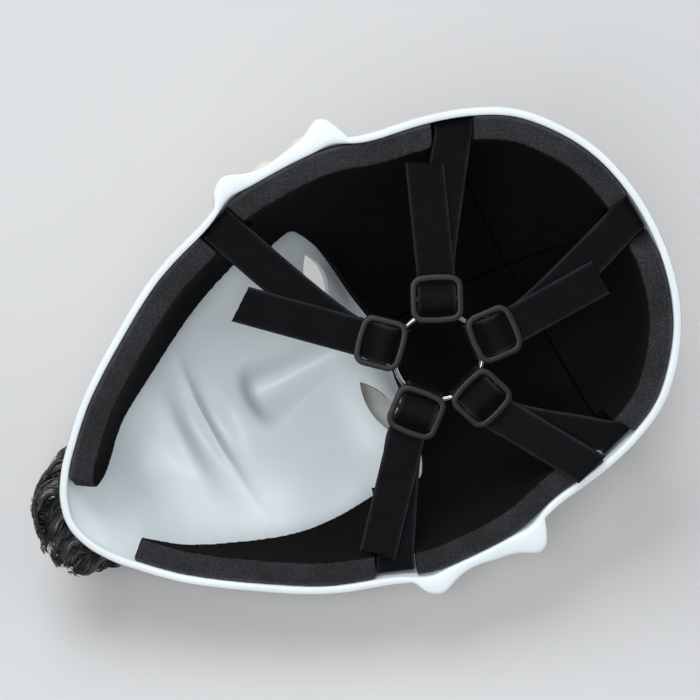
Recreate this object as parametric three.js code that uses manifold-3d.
// A cast resin head mask with a foam lining, a five-strap harness and a curly chin beard.
// It lies on the wearer's right side with its open back towards -Y. Millimetres, +Z up.
// The mask is built in its own frame and then laid down as a whole:
// x is the wearer's right, y runs forward from the flat cut rim to the face, z is up along the rim.
import * as THREE from 'three';
import { mergeVertices } from 'three/addons/utils/BufferGeometryUtils.js';
import Module from 'manifold-3d';

const wasm = await Module();
wasm.setup();

// Driving dimensions
const WALL = 3.2; // resin thickness
const GAP = 0.3; // clearance between pieces that touch
const PAD_GAP = 0.5; // glue line behind the foam
const SEAT_GAP = 0.85; // glue line behind a strap end
const FOAM = 10.4; // lining thickness
const FOAM_RECESS = 0.8; // cut foam face behind the rim
const TEMPLE_REACH = 49; // depth of the temple pads beside the eyes
const WEB_WIDTH = 16; // strap webbing
const WEB_THICK = 1;
const HUB = { x: 9.4, y: 10, z: 22.2 }; // middle of the harness ring
const RING_RADIUS = 18.6;
const RING_WIRE = 1.2; // wire radius
const BUCKLE = { width: 21.2, bar: 2.2, slot: 5.7, thick: 1.8, lift: 3.1, inner: 16.2, corner: 3.5 };
const FACE_LEAN = THREE.MathUtils.degToRad(20); // face plane against the rim plane
const CHIN = { y: 44, z: -124 }; // lowest point of the chin, zero of the face height
const EYE = { x: 32, h: 113, half: 15, up: 6.5, down: 4.5, slant: 1.5 };
const EAR = { y: 3, z: -1, half_y: 19, half_z: 31, swell: 5.5, swell_y: 26, swell_z: 32 };
const BEARD = { half_width: 26, back: -145, front: -108, thick: 2.6, rows: 3, columns: 5 };
const LOCK = { length: 17, middle_extra: 6, uneven: 4, radius: 4.2, thinning: 0.8, lift: 0.42 };
const LOCK_WAVE = { sway: 2.2, turns: 5 };
const REST = { roll: THREE.MathUtils.degToRad(64.5), tilt: THREE.MathUtils.degToRad(-56.5) };
const MESH = { outer: [40, 34], inner: [26, 24], ring: [6, 24], spokes: 16, sides: 5, rings: 3 };

// Sections of the bare head form from the chin end of the rim to its crown end: height along the rim,
// half width at the rim, depth of the middle line and exponent of the arch between them.
const SECTIONS = [
  { z: -149, width: 0, depth: 0, square: 2 },
  { z: -146.5, width: 11, depth: 6, square: 2 },
  { z: -140, width: 22, depth: 15, square: 2 },
  { z: -131, width: 32, depth: 28.5, square: 2 },
  { z: -124, width: 39, depth: 38.5, square: 2 },
  { z: -116, width: 46, depth: 46, square: 2 },
  { z: -96, width: 60, depth: 54.5, square: 2.1 },
  { z: -65, width: 78, depth: 65.5, square: 2.2 },
  { z: -35, width: 87, depth: 76.5, square: 2.25 },
  { z: -4, width: 89.5, depth: 89, square: 2.15 },
  { z: 26, width: 89, depth: 98.5, square: 2.05 },
  { z: 42, width: 87.5, depth: 98.5, square: 2.05 },
  { z: 63, width: 84, depth: 92, square: 2.05 },
  { z: 82, width: 78, depth: 80.5, square: 2.1 },
  { z: 98, width: 69, depth: 66, square: 2.1 },
  { z: 113, width: 52, depth: 46, square: 2 },
  { z: 121, width: 37, depth: 31.5, square: 2 },
  { z: 126, width: 18.5, depth: 15, square: 2 },
  { z: 127.5, width: 0, depth: 0, square: 2 },
];

// Soft lifts of the face in its own plane: distance from the middle, height above the chin, spreads and lift.
const FEATURES = [
  { name: 'brow', x: 25, h: 129, wide: 19, tall: 7, lift: 4.5 },
  { name: 'glabella', x: 0, h: 127, wide: 12, tall: 9, lift: 1.5 },
  { name: 'socket', x: 31, h: 113, wide: 17, tall: 11, lift: -8 },
  { name: 'eyelid', x: 32, h: 113, wide: 13, tall: 8.5, lift: 6 },
  { name: 'cheekbone', x: 55, h: 98, wide: 15, tall: 11, lift: 3 },
  { name: 'cheek hollow', x: 46, h: 58, wide: 16, tall: 22, lift: -3 },
  { name: 'muzzle', x: 0, h: 45, wide: 27, tall: 22, lift: 5 },
  { name: 'upper lip', x: 7, h: 47.5, wide: 13, tall: 4.5, lift: 4 },
  { name: 'lower lip', x: 0, h: 37, wide: 16, tall: 5, lift: 5.5 },
  { name: 'mouth line', x: 0, h: 42, wide: 24, tall: 2.2, lift: -4 },
  { name: 'chin dip', x: 0, h: 28, wide: 20, tall: 5, lift: -3 },
  { name: 'chin', x: 0, h: 12, wide: 20, tall: 12, lift: 6 },
  { name: 'forehead', x: 22, h: 156, wide: 14, tall: 16, lift: 6 },
  { name: 'temple', x: 63, h: 138, wide: 15, tall: 24, lift: -4 },
];
const NOSE = { root: 119, tip: 72, base: 62, lift: 22, root_half: 8, tip_half: 16 };
const INNER_SHARE = 0.7; // how much of each raised feature the inside follows

// Relief of an ear over its own outline: up is -1 at the lobe and 1 at the top, back is 1 behind the rim cut.
const EAR_LUMPS = [
  { name: 'top', up: 0.75, back: 0.2, tall: 0.25, wide: 0.5, lift: 5 },
  { name: 'lobe', up: -0.75, back: 0.2, tall: 0.25, wide: 0.5, lift: 5 },
  { name: 'concha', up: -0.12, back: -0.12, tall: 0.3, wide: 0.36, lift: -3 },
  { name: 'tragus', up: -0.1, back: -0.72, tall: 0.16, wide: 0.16, lift: 2.5 },
];
const EAR_HELIX = { radius: 0.84, wide: 0.13, lift: 3, fade: [-0.1, 0.6] };
const EAR_FOLD = { up: -0.12, back: -0.12, radius: 0.52, wide: 0.12, lift: 2, fade: [-0.3, 0.3] };
const EAR_FLARE = { base: 2.6, back: 1, up: 1 };

// Harness rows: buckle direction from the crown towards the wearer's left, swing of the free tail,
// its length past the buckle and rise towards the open side, and where the strap is glued: side and height,
// or x on the crown (side 0).
const STRAPS = [
  { name: 'crown', turn: -4, swing: 7, tail: 39, rise: 0.08, side: 0, at: -8 },
  { name: 'left_upper', turn: 65, swing: 4, tail: 46, rise: 0.08, side: -1, at: 72 },
  { name: 'left_lower', turn: 138, swing: -2, tail: 50, rise: 0.08, side: -1, at: -34 },
  { name: 'right_lower', turn: 221, swing: 8, tail: 51, rise: 0.12, side: 1, at: -36 },
  { name: 'right_upper', turn: 289, swing: 14, tail: 42.5, rise: 0.24, side: 1, at: 73 },
];

// Lining rows: side, heights of the two ends at the rim, grid steps along and round, and the front edge:
// a reach (depth y) at both ends with a drop at the low one, a wrap to the middle line between two heights,
// or the middle line itself.
const PADS = [
  { name: 'left_cheek', side: -1, low: -138, high: -34.4, reach: [24, 41], drop: 17, along: 6, round: 4 },
  { name: 'right_cheek', side: 1, low: -131, high: -36.4, reach: [5, 46], drop: 0, along: 5, round: 4 },
  { name: 'left_temple', side: -1, low: -33.6, high: 71.6, wrap: [-14, 0], along: 6, round: 8 },
  { name: 'right_temple', side: 1, low: -35.6, high: 72.6, wrap: [-14, 2], along: 5, round: 8 },
  { name: 'left_crown', side: -1, low: 72.4, high: 125, along: 4, round: 6 },
  { name: 'right_crown', side: 1, low: 73.4, high: 125, along: 4, round: 6 },
];
const CHANNEL = { clear: 1.8, depth: 22, run: [2, 4, 8, 12, 20] }; // notch in the lining round each strap end

// Mesh helpers
const { lerp, smoothstep, degToRad } = THREE.MathUtils;

function indexed(points, triangles) {
  const geometry = new THREE.BufferGeometry();
  const positions = points.flatMap((p) => [p.x, p.y, p.z]);
  geometry.setAttribute('position', new THREE.Float32BufferAttribute(positions, 3));
  geometry.setIndex(triangles);
  const merged = mergeVertices(geometry, 1e-3);
  const kept = [];
  for (let i = 0; i < merged.index.count; i += 3) {
    const [a, b, c] = [merged.index.getX(i), merged.index.getX(i + 1), merged.index.getX(i + 2)];
    if (a !== b && b !== c && c !== a) kept.push(a, b, c);
  }
  merged.setIndex(kept);
  return merged;
}

// A closed solid through a row of closed loops with the same number of points.
function loft(loops) {
  const count = loops[0].length;
  const points = loops.flat();
  const triangles = [];
  for (let i = 0; i + 1 < loops.length; i += 1) {
    for (let j = 0; j < count; j += 1) {
      const a = i * count + j;
      const b = i * count + ((j + 1) % count);
      triangles.push(a, b, b + count, a, b + count, a + count);
    }
  }
  const last = (loops.length - 1) * count;
  for (let j = 1; j + 1 < count; j += 1) {
    triangles.push(0, j + 1, j, last, last + j, last + j + 1);
  }
  return indexed(points, triangles);
}

// A closed slab between two grids of points of the same size.
function slab(front, back) {
  const rows = front.length;
  const columns = front[0].length;
  const half = rows * columns;
  const at = (i, j) => i * columns + j;
  const triangles = [];
  const quad = (a, b, c, d) => triangles.push(a, b, c, a, c, d);
  for (let i = 0; i + 1 < rows; i += 1) {
    for (let j = 0; j + 1 < columns; j += 1) {
      quad(at(i, j), at(i, j + 1), at(i + 1, j + 1), at(i + 1, j));
      quad(half + at(i, j), half + at(i + 1, j), half + at(i + 1, j + 1), half + at(i, j + 1));
    }
  }
  const edge = (a, b) => quad(a, half + a, half + b, b);
  for (let j = 0; j + 1 < columns; j += 1) {
    edge(at(0, j), at(0, j + 1));
    edge(at(rows - 1, j + 1), at(rows - 1, j));
  }
  for (let i = 0; i + 1 < rows; i += 1) {
    edge(at(i + 1, 0), at(i, 0));
    edge(at(i, columns - 1), at(i + 1, columns - 1));
  }
  return indexed([...front.flat(), ...back.flat()], triangles);
}

// Solids for joining and cutting, turned the right way out first.
function solid(geometry) {
  const bare = new THREE.BufferGeometry();
  bare.setAttribute('position', geometry.getAttribute('position').clone());
  if (geometry.index) bare.setIndex(geometry.index.clone());
  const merged = mergeVertices(bare, 1e-4);
  const vertProperties = new Float32Array(merged.getAttribute('position').array);
  const triVerts = new Uint32Array(merged.index.array);
  if (volume(vertProperties, triVerts) < 0) triVerts.reverse();
  return new wasm.Manifold(new wasm.Mesh({ numProp: 3, vertProperties, triVerts }));
}

function volume(positions, triangles) {
  const corner = (k) => new THREE.Vector3().fromArray(positions, 3 * k);
  let sum = 0;
  for (let i = 0; i < triangles.length; i += 3) {
    const [a, b, c] = [corner(triangles[i]), corner(triangles[i + 1]), corner(triangles[i + 2])];
    sum += a.dot(b.cross(c)) / 6;
  }
  return sum;
}

function geometryOf(manifold) {
  const mesh = manifold.getMesh();
  const geometry = new THREE.BufferGeometry();
  const positions = new Float32Array(mesh.numVert * 3);
  for (let i = 0; i < mesh.numVert; i += 1) {
    positions.set(mesh.vertProperties.slice(i * mesh.numProp, i * mesh.numProp + 3), i * 3);
  }
  geometry.setAttribute('position', new THREE.BufferAttribute(positions, 3));
  geometry.setIndex([...mesh.triVerts]);
  return geometry;
}

// Positions from 0 to 1 whose spacing follows a density.
function spread(count, density, steps = 600) {
  const sums = [0];
  for (let i = 0; i < steps; i += 1) sums.push(sums[i] + density((i + 0.5) / steps));
  const positions = [];
  let k = 0;
  for (let i = 0; i <= count; i += 1) {
    const target = (sums[steps] * i) / count;
    while (k < steps - 1 && sums[k + 1] < target) k += 1;
    positions.push(Math.min(1, (k + (target - sums[k]) / (sums[k + 1] - sums[k])) / steps));
  }
  return positions;
}

// Head form
const mirrored = (row) => ({ ...row, width: -row.width, depth: -row.depth });
const formRows = [mirrored(SECTIONS[1]), ...SECTIONS, mirrored(SECTIONS.at(-2))];
const formPoints = formRows.map((row) => new THREE.Vector3(row.width, row.depth, row.z));
const formCurve = new THREE.CatmullRomCurve3(formPoints, false, 'centripetal');
const SPANS = SECTIONS.length - 1;

function formAt(s) {
  const point = formCurve.getPoint((1 + s * SPANS) / (SPANS + 2));
  const row = THREE.MathUtils.clamp(Math.floor(s * SPANS), 0, SPANS - 1);
  const square = lerp(SECTIONS[row].square, SECTIONS[row + 1].square, s * SPANS - row);
  return { width: point.x, depth: point.y, z: point.z, square };
}

// The same section moved inwards, along the normals of the rim and of the middle line.
function insetForm(s, inset) {
  const step = 1e-3;
  const form = formAt(s);
  const before = formAt(s - step);
  const after = formAt(s + step);
  const rise = after.z - before.z;
  const widen = after.width - before.width;
  const deepen = after.depth - before.depth;
  const rim = Math.hypot(rise, widen);
  const middle = Math.hypot(rise, deepen);
  return {
    width: form.width - (inset * rise) / rim,
    depth: form.depth - (inset * rise) / middle,
    z_rim: form.z + (inset * widen) / rim,
    z_middle: form.z + (inset * deepen) / middle,
    power: 2 / form.square,
  };
}

// Station of the section whose rim lies at a height.
function stationAt(z, inset = 0) {
  let [low, high] = [0, 1];
  for (let i = 0; i < 40; i += 1) {
    const middle = (low + high) / 2;
    if (insetForm(middle, inset).z_rim < z) low = middle;
    else high = middle;
  }
  return (low + high) / 2;
}

function noseLift(x, h, slim) {
  const along = (NOSE.root - h) / (NOSE.root - NOSE.tip);
  if (along <= 0 || h <= NOSE.base) return 0;
  const rise = h > NOSE.tip ? along ** 1.15 : smoothstep(h, NOSE.base, NOSE.tip);
  const half = slim * lerp(NOSE.root_half, NOSE.tip_half, Math.min(1, along) ** 1.6);
  const across = Math.min(1, Math.abs(x) / (1.35 * half));
  return NOSE.lift * rise * (0.5 + 0.5 * Math.cos(Math.PI * across));
}

// Lift of the face above the bare form; the inside follows the raised features only in part.
function relief(x, h, inside) {
  let lift = noseLift(x, h, inside ? 0.8 : 1) * (inside ? INNER_SHARE : 1);
  for (const row of FEATURES) {
    const places = row.x ? [-row.x, row.x] : [0];
    const share = inside && row.lift > 0 ? INNER_SHARE : 1;
    for (const place of places) {
      const spreadOut = ((x - place) / row.wide) ** 2 + ((h - row.h) / row.tall) ** 2;
      lift += share * row.lift * Math.exp(-spreadOut);
    }
  }
  return lift;
}

const faceHeight = (y, z) => (z - CHIN.z) * Math.cos(FACE_LEAN) + (y - CHIN.y) * Math.sin(FACE_LEAN);

// The sides of the head stand out under the ears.
const bump = (offset, wide) => Math.exp(-((offset / wide) ** 2));
const swell = (y, z) => EAR.swell * bump(y, EAR.swell_y) * bump((z - EAR.z) ** 2, EAR.swell_z ** 2);

// A point of the head form: station along it, angle round the arch and depth below the outer surface.
function surface(s, angle, inset) {
  const form = insetForm(s, inset);
  const side = Math.cos(angle);
  const front = Math.max(0, Math.sin(angle));
  const y = form.depth * front ** form.power;
  const z = lerp(form.z_rim, form.z_middle, front ** 2);
  const x = Math.sign(side) * (form.width * Math.abs(side) ** form.power + swell(y, z));
  const lift = relief(x, faceHeight(y, z), inset > 0);
  return new THREE.Vector3(x, y + lift * Math.cos(FACE_LEAN), z - lift * Math.sin(FACE_LEAN));
}

// Arch angle, on the wearer's right, at a depth y behind which or a distance x at which a piece ends.
function angleAtDepth(s, y, inset) {
  const form = insetForm(s, inset);
  return Math.asin(Math.min(1, (y / form.depth) ** (1 / form.power)));
}

function angleAtWidth(s, x, inset) {
  const form = insetForm(s, inset);
  return Math.acos(Math.min(1, (x / form.width) ** (1 / form.power)));
}

// Shell
function dome([rows, columns], inset, skirt) {
  const speed = (s) => {
    const [a, b] = [formAt(s - 1e-3), formAt(s + 1e-3)];
    const length = Math.hypot(b.width - a.width, b.depth - a.depth, b.z - a.z);
    return length * (1 + 1.1 * Math.exp(-(((a.z + 50) / 55) ** 2)));
  };
  const stations = spread(rows, speed);
  const angles = spread(columns, (u) => 1 + 1.6 * Math.exp(-(((u - 0.5) / 0.16) ** 2)));
  const loops = stations.map((s) => {
    const arch = angles.map((u) => surface(s, u * Math.PI, inset));
    if (!skirt) return arch;
    const drop = (p) => new THREE.Vector3(p.x, -skirt, p.z);
    return [drop(arch[0]), ...arch, drop(arch.at(-1))];
  });
  return loft(loops);
}

function earLift(up, back, radius) {
  let lift = EAR_FLARE.base + EAR_FLARE.back * back + EAR_FLARE.up * up;
  for (const row of EAR_LUMPS) {
    lift += row.lift * bump(up - row.up, row.tall) * bump(back - row.back, row.wide);
  }
  const helix = EAR_HELIX.lift * bump(radius - EAR_HELIX.radius, EAR_HELIX.wide);
  const foldRadius = Math.hypot(up - EAR_FOLD.up, back - EAR_FOLD.back);
  const fold = EAR_FOLD.lift * bump(foldRadius - EAR_FOLD.radius, EAR_FOLD.wide);
  return lift + helix * smoothstep(up, ...EAR_HELIX.fade) + fold * smoothstep(back, ...EAR_FOLD.fade);
}

function ear(side) {
  const rings = [0.001, 0.3, 0.55, 0.72, 0.86, 0.95];
  const spokes = MESH.spokes;
  const point = (radius, turn, sunk) => {
    const up = radius * Math.sin(turn);
    const back = radius * Math.cos(turn) * lerp(0.72, 1, smoothstep(up, -1, 0.5));
    const y = EAR.y - EAR.half_y * back;
    const z = EAR.z + EAR.half_z * up + 4 * back;
    const form = formAt(stationAt(z));
    const front = Math.max(0, y / form.depth) ** form.square;
    const x = form.width * (1 - front) ** (1 / form.square) + swell(y, z);
    const lift = sunk ? -sunk : earLift(up, back, radius);
    return new THREE.Vector3(side * (x + lift), y, z);
  };
  const ring = (radius, sunk) => {
    const turns = Array.from({ length: spokes }, (_, k) => (k / spokes) * 2 * Math.PI);
    return turns.map((turn) => point(radius, turn, sunk));
  };
  return loft([...rings.map((r) => ring(r, 0)), ring(1, 1), ring(0.9, 2.2), ring(0.001, 2.2)]);
}

// A cutter through an eye: an almond drawn in the face plane and pushed through the wall.
function eyeCutter(side) {
  const reach = 60;
  const almond = new THREE.Shape();
  almond.moveTo(-EYE.half, -EYE.slant);
  almond.quadraticCurveTo(0, 2 * EYE.up, EYE.half, EYE.slant);
  almond.quadraticCurveTo(0, -2 * EYE.down, -EYE.half, -EYE.slant);
  const cutter = new THREE.ExtrudeGeometry(almond, { depth: reach, bevelEnabled: false, curveSegments: 9 });
  cutter.translate(0, EYE.h, -reach / 2);
  if (side < 0) cutter.scale(-1, 1, 1);
  cutter.translate(side * EYE.x, 0, 0);
  const right = new THREE.Vector3(1, 0, 0);
  const up = new THREE.Vector3(0, Math.sin(FACE_LEAN), Math.cos(FACE_LEAN));
  const out = new THREE.Vector3(0, -Math.cos(FACE_LEAN), Math.sin(FACE_LEAN));
  cutter.applyMatrix4(new THREE.Matrix4().makeBasis(right, up, out).setPosition(0, CHIN.y, CHIN.z));
  return cutter;
}

const BEHIND = 300; // room behind the rim plane, where the ears are cut off
function faceShell() {
  let shell = solid(dome(MESH.outer, 0, 0));
  const behind = new THREE.BoxGeometry(2 * BEHIND, BEHIND, 2 * BEHIND).translate(0, -BEHIND / 2, 0);
  for (const side of [-1, 1]) shell = shell.add(solid(ear(side)).subtract(solid(behind)));
  shell = shell.subtract(solid(dome(MESH.inner, WALL, 2 * WALL)));
  for (const side of [-1, 1]) shell = shell.subtract(solid(eyeCutter(side)));
  return geometryOf(shell);
}

// Straps
// Where a strap lies on the inside of the shell, at a depth y: its middle and its width direction.
function wallSeat(row, y) {
  const inset = WALL + SEAT_GAP + WEB_THICK / 2;
  const edge = (offset) => {
    if (row.side) {
      const s = stationAt(row.at + offset, inset);
      const p = surface(s, angleAtDepth(s, y, inset), inset);
      return new THREE.Vector3(row.side * p.x, y, p.z);
    }
    const x = row.at + offset;
    let [low, high] = [stationAt(60), 1];
    for (let i = 0; i < 40; i += 1) {
      const middle = (low + high) / 2;
      const form = insetForm(middle, inset);
      const inside = (Math.abs(x) / form.width) ** 2 + (y / form.depth) ** 2 < 1;
      if (inside) low = middle;
      else high = middle;
    }
    const p = surface(low, angleAtDepth(low, y, inset), inset);
    return new THREE.Vector3(x, y, p.z);
  };
  const [a, b] = [edge(-WEB_WIDTH / 2), edge(WEB_WIDTH / 2)];
  const middle = a.clone().lerp(b, 0.5);
  middle.x = row.side ? row.side * Math.min(Math.abs(middle.x), Math.abs(edge(0).x)) : middle.x;
  return { middle, across: b.sub(a).normalize() };
}

// Strap path through buckle and ring: reach from the hub and level on the open side. The strap comes in
// under the outer bar, over the middle bar and round the ring, and goes back above itself.
const IN_PATH = [
  { reach: 37, level: 1 },
  { reach: 34.2, level: 1 },
  { reach: 31.4, level: 1.1 },
  { reach: 29.4, level: 2.6 },
  { reach: 27.7, level: 4.8 },
  { reach: 26.3, level: 5.8 },
  { reach: 24.1, level: 5.8 },
  { reach: 22.7, level: 4.8 },
  { reach: 21.6, level: 2 },
  { reach: 20.7, level: -0.8 },
  { reach: 19.5, level: -2.1 },
];
const OUT_PATH = [
  { reach: 18.3, level: 2.25 },
  { reach: 19.5, level: 3.2 },
  { reach: 21.1, level: 5.3 },
  { reach: 22.4, level: 6.7 },
  { reach: 23.8, level: 7.25 },
  { reach: 26.6, level: 7.25 },
  { reach: 28.3, level: 6.1 },
  { reach: 30.1, level: 3.8 },
  { reach: 31.4, level: 2.65 },
  { reach: 33, level: 2.3 },
  { reach: 36, level: 2.3 },
];
const FOLD = { reach: Math.sqrt(RING_RADIUS ** 2 - (WEB_WIDTH / 2) ** 2), radius: 2.2, steps: 4 };
const SPAN = { level: 4, bend: 2.5, bend_steps: 3, leg: [20, 13], steps: 5, knee: 7, dip: 0.08 };

// Directions of a strap at its buckle: out from the hub and across the webbing.
function buckleAxes(row) {
  const turn = degToRad(row.turn);
  const out = new THREE.Vector3(-Math.sin(turn), 0, Math.cos(turn));
  const across = new THREE.Vector3(Math.cos(turn), 0, Math.sin(turn));
  const place = (r, level, shift = 0) => {
    const p = new THREE.Vector3(HUB.x, HUB.y - level, HUB.z);
    return p.addScaledVector(out, r).addScaledVector(across, shift);
  };
  return { out, across, place };
}

// A strap between the wall and its buckle: its seat, the way inwards and the curve of the free span.
function strapEnd(row) {
  const { out, across, place } = buckleAxes(row);
  const facing = (width) => (width.dot(across) < 0 ? width.clone().negate() : width.clone());
  const seat = wallSeat(row, SPAN.level + SPAN.bend);
  const wall = facing(seat.across);
  const inward = new THREE.Vector3().crossVectors(wall, new THREE.Vector3(0, 1, 0));
  if (inward.dot(out) > 0) inward.negate();
  const far = seat.middle.clone().addScaledVector(inward, SPAN.bend);
  far.y -= SPAN.bend;
  const near = place(IN_PATH[0].reach, IN_PATH[0].level);
  const knee = near.clone().addScaledVector(out, SPAN.knee);
  knee.y = lerp(near.y, far.y, SPAN.dip);
  const curve = new THREE.QuadraticBezierCurve3(far, knee, near);
  const squareAt = (q) => {
    const along = curve.getTangent(q);
    const square = facing(new THREE.Vector3(along.z, 0, -along.x).normalize());
    return wall.clone().lerp(square, smoothstep(q, 0, 0.35)).normalize();
  };
  return { seat, wall, inward, curve, facing, squareAt };
}

function strap(row) {
  const { across, place } = buckleAxes(row);
  const { seat, wall, inward, curve, facing, squareAt } = strapEnd(row);
  const stations = [];
  const put = (p, width) => stations.push({ p, width });

  // Glued leg on the wall and the bend at the rim
  for (const y of SPAN.leg) {
    const glued = wallSeat(row, y);
    put(glued.middle, facing(glued.across));
  }
  for (let k = 0; k <= SPAN.bend_steps; k += 1) {
    const a = (k / SPAN.bend_steps) * (Math.PI / 2);
    const p = seat.middle.clone().addScaledVector(inward, SPAN.bend * (1 - Math.cos(a)));
    p.y -= SPAN.bend * Math.sin(a);
    put(p, wall);
  }

  // Free span to the buckle
  for (let k = 1; k < SPAN.steps; k += 1) {
    const q = k / SPAN.steps;
    put(curve.getPoint(q), squareAt(q));
  }

  // Through the buckle, round the ring, back through the buckle and out as the tail
  for (const { reach, level } of IN_PATH) put(place(reach, level), across);
  for (let k = 0; k <= FOLD.steps; k += 1) {
    const a = (k / FOLD.steps) * Math.PI;
    put(place(FOLD.reach - FOLD.radius * Math.sin(a), -FOLD.radius * Math.cos(a)), across);
  }
  for (const { reach, level } of OUT_PATH) put(place(reach, level), across);
  const last = OUT_PATH.at(-1);
  for (const share of [0.5, 1]) {
    const run = share * row.tail;
    const shift = -run * Math.tan(degToRad(row.swing));
    put(place(last.reach + run, last.level + row.rise * run, shift), across);
  }
  return loft(ribbonLoops(stations));
}

function ribbonLoops(stations) {
  return stations.map(({ p, width }, i) => {
    const before = stations[Math.max(0, i - 1)].p;
    const after = stations[Math.min(stations.length - 1, i + 1)].p;
    const along = after.clone().sub(before).normalize();
    const up = new THREE.Vector3().crossVectors(width, along).normalize();
    const corner = (w, t) => p.clone().addScaledVector(width, w).addScaledVector(up, t);
    const [w, t] = [WEB_WIDTH / 2, WEB_THICK / 2];
    return [corner(-w, -t), corner(w, -t), corner(w, t), corner(-w, t)];
  });
}

// The notch for a strap end: as deep as its glued leg and open at the rim.
function channel(row) {
  const { seat, wall, inward, curve, squareAt } = strapEnd(row);
  const half = WEB_WIDTH / 2 + CHANNEL.clear;
  const loop = (p, width) => {
    const corner = (w, y) => p.clone().addScaledVector(width, w).setY(y);
    const [rim, floor] = [-WALL, CHANNEL.depth];
    return [corner(-half, rim), corner(half, rim), corner(half, floor), corner(-half, floor)];
  };
  const length = curve.getLength();
  const behind = seat.middle.clone().addScaledVector(inward, -2 * WALL);
  const along = CHANNEL.run.map((run) => loop(curve.getPointAt(run / length), squareAt(run / length)));
  return loft([loop(behind, wall), ...along]);
}

// Foam pads: a grid along the rim and round the arch on both faces, trimmed to the inside of the shell
// and notched for the straps.
function pad(row, notches) {
  const face = (inset) => {
    const grid = [];
    for (let i = 0; i <= row.along; i += 1) {
      const share = i / row.along;
      const s = stationAt(lerp(row.low, row.high, share));
      const start = angleAtDepth(s, FOAM_RECESS, inset);
      const end = padEnd(row, s, share, inset);
      const line = [];
      for (let j = 0; j <= row.round; j += 1) {
        const p = surface(s, lerp(start, end, j / row.round), inset);
        if (j === 0) p.y = FOAM_RECESS;
        line.push(new THREE.Vector3(row.side * p.x, p.y, p.z));
      }
      grid.push(line);
    }
    return grid;
  };
  const block = slab(face(WALL / 2), face(WALL + PAD_GAP + FOAM));
  return geometryOf(solid(block).intersect(lined).subtract(notches));
}

function padEnd(row, s, share, inset) {
  if (row.reach) {
    const depth = lerp(row.reach[0], row.reach[1], share) - row.drop * (1 - share) ** 8;
    return angleAtDepth(s, depth, inset);
  }
  const middle = angleAtWidth(s, GAP, inset);
  if (!row.wrap) return middle;
  const short = angleAtDepth(s, TEMPLE_REACH, inset);
  return lerp(short, middle, smoothstep(formAt(s).z, row.wrap[0], row.wrap[1]));
}

const lined = solid(dome(MESH.inner, WALL + PAD_GAP, WALL));

// Buckles and ring, drawn flat with the hub at the origin and the open side up
function roundedBox(shape, x, y, width, height, radius) {
  const [left, low, right, high] = [x - width / 2, y - height / 2, x + width / 2, y + height / 2];
  shape.moveTo(left + radius, low);
  shape.lineTo(right - radius, low);
  shape.absarc(right - radius, low + radius, radius, -Math.PI / 2, 0);
  shape.lineTo(right, high - radius);
  shape.absarc(right - radius, high - radius, radius, 0, Math.PI / 2);
  shape.lineTo(left + radius, high);
  shape.absarc(left + radius, high - radius, radius, Math.PI / 2, Math.PI);
  shape.lineTo(left, low + radius);
  shape.absarc(left + radius, low + radius, radius, Math.PI, 1.5 * Math.PI);
  return shape;
}

function slotPath(y, width, height) {
  const corners = [[-1, -1], [1, -1], [1, 1], [-1, 1]];
  return new THREE.Path(corners.map(([i, j]) => new THREE.Vector2((i * width) / 2, y + (j * height) / 2)));
}

function buckle() {
  const length = 3 * BUCKLE.bar + 2 * BUCKLE.slot;
  const middle = BUCKLE.inner + length / 2;
  const frame = roundedBox(new THREE.Shape(), 0, middle, BUCKLE.width, length, BUCKLE.corner);
  const offset = (BUCKLE.bar + BUCKLE.slot) / 2;
  for (const y of [middle - offset, middle + offset]) {
    const width = BUCKLE.width - 2 * BUCKLE.bar;
    frame.holes.push(slotPath(y, width, BUCKLE.slot));
  }
  const settings = { depth: BUCKLE.thick, bevelEnabled: false, curveSegments: 3 };
  return new THREE.ExtrudeGeometry(frame, settings).translate(0, 0, BUCKLE.lift);
}

// Beard
// A pseudo-random number from 0 to 1 that is the same on every run.
function scatter(k) {
  const value = Math.sin(k * 12.9898) * 43758.5453;
  return value - Math.floor(value);
}

function beardSpot(share, across, inset) {
  const s = lerp(stationAt(BEARD.back), stationAt(BEARD.front), share);
  const half = Math.min(BEARD.half_width, 0.88 * formAt(s).width);
  const angle = angleAtWidth(s, Math.abs(across) * half, 0);
  return surface(s, across < 0 ? Math.PI - angle : angle, inset);
}

function beardBacking() {
  const shares = [0, 0.2, 0.4, 0.6, 0.8, 1];
  const acrosses = [1, 0.75, 0.5, 0.25, 0, -0.25, -0.5, -0.75, -1];
  const face = (inset) => shares.map((share) => acrosses.map((across) => beardSpot(share, across, inset)));
  return slab(face(1), face(-BEARD.thick));
}

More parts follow.
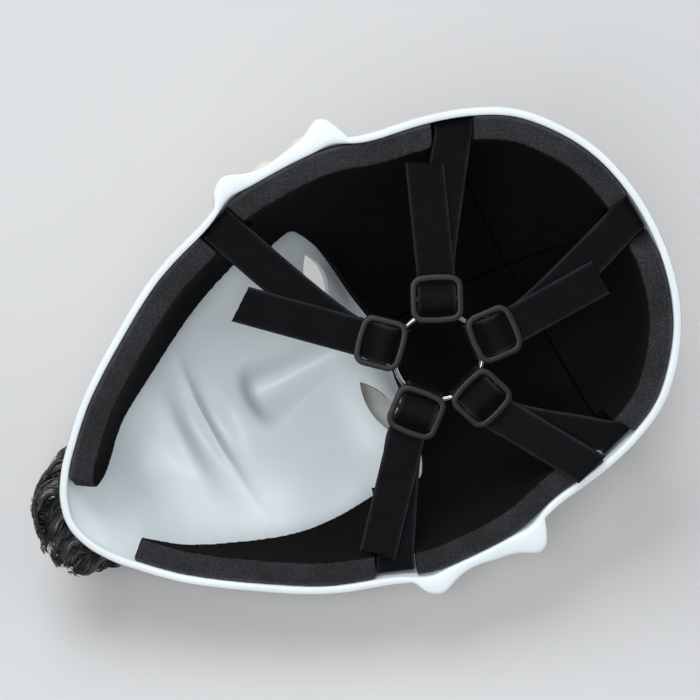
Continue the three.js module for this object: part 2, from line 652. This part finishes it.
// One curly lock: a tapering tube that leaves the chin and hangs towards the beard's tip.
function lock(share, across, k) {
  const root = beardSpot(share, across, -1);
  const outward = beardSpot(share, across, -2).sub(root).normalize();
  const hang = new THREE.Vector3(0.12 * across, 0.1 - 0.25 * share, -1).normalize();
  const length = LOCK.length + LOCK.middle_extra * (1 - Math.abs(across)) + LOCK.uneven * scatter(k);
  const aside = new THREE.Vector3().crossVectors(outward, hang).normalize();
  const phase = 2 * Math.PI * scatter(k + 50);
  const loops = [];
  for (let i = 0; i <= MESH.rings; i += 1) {
    const run = i / MESH.rings;
    const lean = smoothstep(run, 0, 0.7);
    const centre = root.clone().addScaledVector(outward, length * LOCK.lift * run * (1 - lean / 2));
    centre.addScaledVector(hang, length * run * lerp(0.25, 1, lean));
    centre.addScaledVector(aside, LOCK_WAVE.sway * run * Math.sin(LOCK_WAVE.turns * run + phase));
    const radius = LOCK.radius * (1 - LOCK.thinning * run ** 1.5);
    const along = hang.clone().multiplyScalar(lean).addScaledVector(outward, 1 - lean).normalize();
    const above = new THREE.Vector3().crossVectors(aside, along).normalize();
    loops.push(Array.from({ length: MESH.sides }, (_, j) => {
      const a = (j / MESH.sides) * 2 * Math.PI;
      const spoke = aside.clone().multiplyScalar(Math.cos(a)).addScaledVector(above, Math.sin(a));
      return centre.clone().addScaledVector(spoke, radius);
    }));
  }
  return loft(loops);
}

function beard() {
  let form = solid(beardBacking());
  for (let i = 0; i < BEARD.rows; i += 1) {
    const count = BEARD.columns - (i % 2);
    for (let j = 0; j < count; j += 1) {
      const across = (2 * (j + 0.5)) / count - 1;
      const root = lock((i + 0.4) / BEARD.rows, 0.92 * across, i * BEARD.columns + j);
      form = form.add(solid(root));
    }
  }
  return geometryOf(form.subtract(solid(dome(MESH.outer, -GAP, 0))));
}

// Assembly
function finish(color, roughness, metalness = 0) {
  return new THREE.MeshStandardMaterial({ color, roughness, metalness });
}

const resin = finish(0xeceae2, 0.45);
const foam = finish(0x2a2c2e, 0.95);
const webbing = finish(0x141516, 0.85);
const plastic = finish(0x1c1d1f, 0.4);
const steel = finish(0xc8cacc, 0.2, 1);
const hair = finish(0x0d0d0e, 0.35);

function piece(name, geometry, material) {
  const mesh = new THREE.Mesh(geometry, material);
  mesh.name = name;
  return mesh;
}

const mask = new THREE.Group();
mask.rotation.y = REST.roll;
mask.add(piece('face_shell', faceShell(), resin));
mask.add(piece('beard', beard(), hair));
const notches = wasm.Manifold.union(STRAPS.map((row) => solid(channel(row))));
for (const row of PADS) mask.add(piece(`pad_${row.name}`, pad(row, notches), foam));
for (const row of STRAPS) mask.add(piece(`strap_${row.name}`, geometryOf(solid(strap(row))), webbing));

const harness = new THREE.Group();
harness.position.set(HUB.x, HUB.y, HUB.z);
harness.rotation.x = Math.PI / 2;
harness.add(piece('hub_ring', new THREE.TorusGeometry(RING_RADIUS, RING_WIRE, ...MESH.ring), steel));
for (const row of STRAPS) {
  const mesh = piece(`buckle_${row.name}`, buckle(), plastic);
  mesh.rotation.z = degToRad(row.turn);
  harness.add(mesh);
}
mask.add(harness);

// Laid on its side: turned about the face axis, tilted back and set on the ground over the origin
const laid = new THREE.Group();
laid.rotation.x = REST.tilt;
laid.add(mask);
const group = new THREE.Group();
group.add(laid);
group.updateMatrixWorld(true);
const box = new THREE.Box3().setFromObject(group, true);
laid.position.set(-(box.min.x + box.max.x) / 2, -(box.min.y + box.max.y) / 2, -box.min.z);

export default group;
